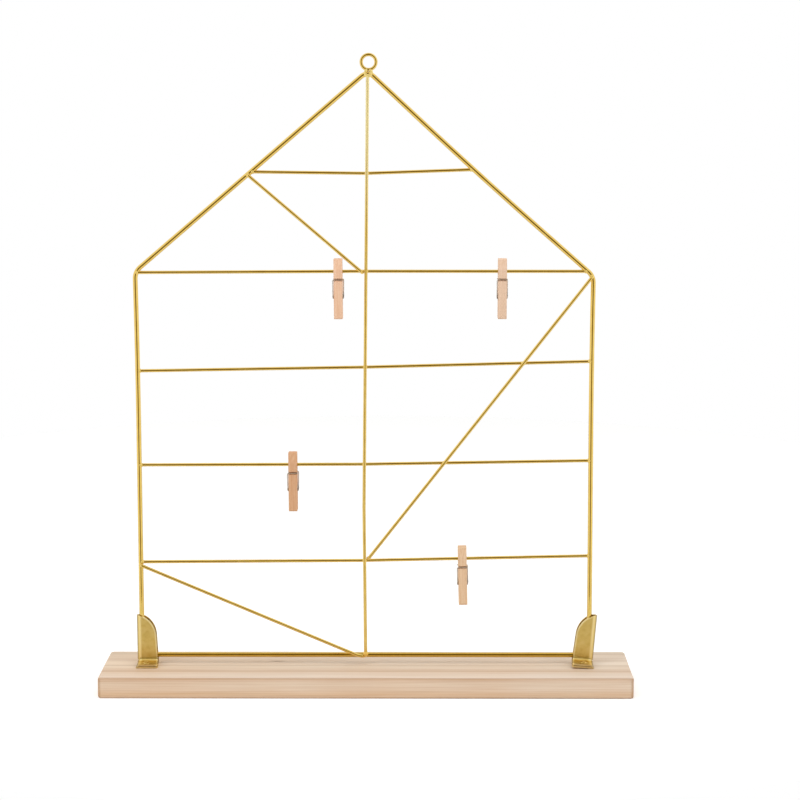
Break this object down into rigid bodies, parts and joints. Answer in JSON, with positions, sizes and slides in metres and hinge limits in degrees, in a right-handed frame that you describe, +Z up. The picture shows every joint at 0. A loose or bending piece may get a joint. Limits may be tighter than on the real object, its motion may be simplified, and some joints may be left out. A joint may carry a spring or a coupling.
{
  "type": "standing card rack",
  "caption": "House-shaped gold wire rack standing on a pine board, with cross rails, slanted braces, a hanging ring and sprung wooden mini pegs that clip cards to the rails.",
  "frame": {"origin": "middle of the board's underside", "axes": "+Z up, +X to the right seen from the front, the front faces -Y"},
  "size_m": [0.321, 0.06, 0.3816],
  "materials": {
    "pine_board": "bare sanded pine",
    "gold_wire": "glossy gold plated steel wire",
    "gold_sheet": "satin gold plated sheet steel",
    "gold_screw": "brass plated",
    "peg_wood": "bare birch",
    "spring_steel": "zinc plated spring wire"
  },
  "bodies": {
    "rack": {"base_board": "pine_board", "house_frame": "gold_wire", "hanging_ring": "gold_wire", "centre_upright": "gold_wire", "rail_1": "gold_wire", "rail_2": "gold_wire", "rail_3": "gold_wire", "rail_4": "gold_wire", "rail_5": "gold_wire", "brace_roof": "gold_wire", "brace_long": "gold_wire", "brace_foot": "gold_wire", "bracket_left": "gold_sheet", "bracket_right": "gold_sheet", "screw_left": "gold_screw", "screw_right": "gold_screw"},
    "peg_1_back": {"peg_1_back_leg": "peg_wood", "peg_1_spring": "spring_steel"},
    "peg_1_front": {"peg_1_front_leg": "peg_wood"},
    "peg_2_back": {"peg_2_back_leg": "peg_wood", "peg_2_spring": "spring_steel"},
    "peg_2_front": {"peg_2_front_leg": "peg_wood"},
    "peg_3_back": {"peg_3_back_leg": "peg_wood", "peg_3_spring": "spring_steel"},
    "peg_3_front": {"peg_3_front_leg": "peg_wood"},
    "peg_4_back": {"peg_4_back_leg": "peg_wood", "peg_4_spring": "spring_steel"},
    "peg_4_front": {"peg_4_front_leg": "peg_wood"}
  },
  "joints": [
    {"name": "peg_1_slide", "type": "slide", "parent": "rack", "child": "peg_1_back", "axis": [1, 0, 0.0058], "range_m": [-0.106, 0]},
    {"name": "peg_1_open", "type": "hinge", "parent": "peg_1_back", "child": "peg_1_front", "pos_m": [-0.01636, 0.0028, 0.23885], "axis": [1, 0, 0.0058], "range_deg": [0, 15], "stiffness_Nm_per_rad": 0.001, "springref_deg": -22.92, "deforming": ["peg_1_spring"]},
    {"name": "peg_2_slide", "type": "slide", "parent": "rack", "child": "peg_2_back", "axis": [1, 0, 0], "range_m": [-0.0762, 0.0268]},
    {"name": "peg_2_open", "type": "hinge", "parent": "peg_2_back", "child": "peg_2_front", "pos_m": [0.08136, 0.0028, 0.23895], "axis": [1, 0, 0], "range_deg": [0, 15], "stiffness_Nm_per_rad": 0.001, "springref_deg": -22.92, "deforming": ["peg_2_spring"]},
    {"name": "peg_3_slide", "type": "slide", "parent": "rack", "child": "peg_3_back", "axis": [1, 0, 0.004], "range_m": [-0.088, 0.037]},
    {"name": "peg_3_open", "type": "hinge", "parent": "peg_3_back", "child": "peg_3_front", "pos_m": [-0.04417, 0.0028, 0.12203], "axis": [1, 0, 0.004], "range_deg": [0, 15], "stiffness_Nm_per_rad": 0.001, "springref_deg": -22.92, "deforming": ["peg_3_spring"]},
    {"name": "peg_4_slide", "type": "slide", "parent": "rack", "child": "peg_4_back", "axis": [0.9998, 0, 0.0219], "range_m": [-0.046, 0.071]},
    {"name": "peg_4_open", "type": "hinge", "parent": "peg_4_back", "child": "peg_4_front", "pos_m": [0.05857, 0.0028, 0.064], "axis": [0.9998, 0, 0.0219], "range_deg": [0, 15], "stiffness_Nm_per_rad": 0.001, "springref_deg": -22.92, "deforming": ["peg_4_spring"]}
  ]
}
